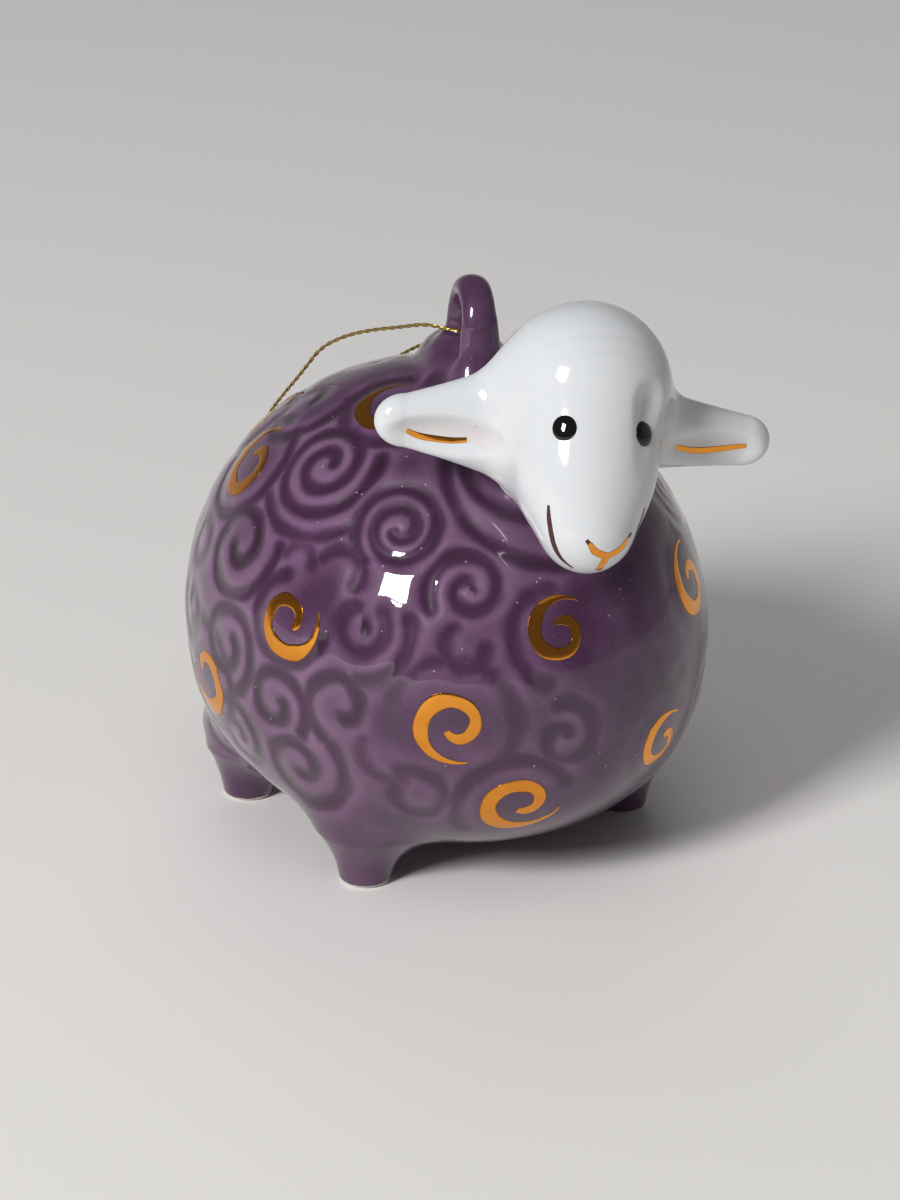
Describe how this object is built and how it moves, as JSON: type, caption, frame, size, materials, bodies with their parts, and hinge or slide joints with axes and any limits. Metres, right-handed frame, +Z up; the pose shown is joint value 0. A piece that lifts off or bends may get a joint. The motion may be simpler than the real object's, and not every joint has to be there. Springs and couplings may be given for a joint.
{
  "type": "sheep ornament",
  "caption": "Round hanging sheep of glazed ceramic with legs, a turned head, ears, gold curls, and a loop on its back that holds a thin knotted thread.",
  "frame": {"origin": "on the floor, under the middle of the ceramic's box, with the thread left out", "axes": "+Z up, -Y the way the body faces, +X to the sheep's own left"},
  "size_m": [0.08, 0.1156, 0.095],
  "materials": {
    "purple_glaze": "glossy translucent purple glaze, darker where it pools in the impressed spirals",
    "white_glaze": "glossy white glaze",
    "black_glaze": "glossy black dots",
    "brown_glaze": "thin painted line under the glaze",
    "gold_lustre": "polished gold film, fired on",
    "gold_thread": "twisted two-ply metallic thread"
  },
  "bodies": {
    "root": {"body_shell": "purple_glaze", "leg_front_right": "purple_glaze", "leg_front_left": "purple_glaze", "leg_rear_right": "purple_glaze", "leg_rear_left": "purple_glaze", "neck": "white_glaze", "head": "white_glaze", "ear_left": "white_glaze", "ear_right": "white_glaze", "loop_pad": "purple_glaze", "hanging_loop": "purple_glaze", "gold_curls_front": "gold_lustre", "gold_curls_right": "gold_lustre", "gold_curls_left": "gold_lustre", "gold_curls_rear": "gold_lustre", "eyes": "black_glaze", "nose_mark": "gold_lustre", "mouth_line": "brown_glaze", "ear_marks": "gold_lustre", "cord_right": "gold_thread", "cord_left": "gold_thread", "cord_knot": "gold_thread"}
  },
  "joints": []
}
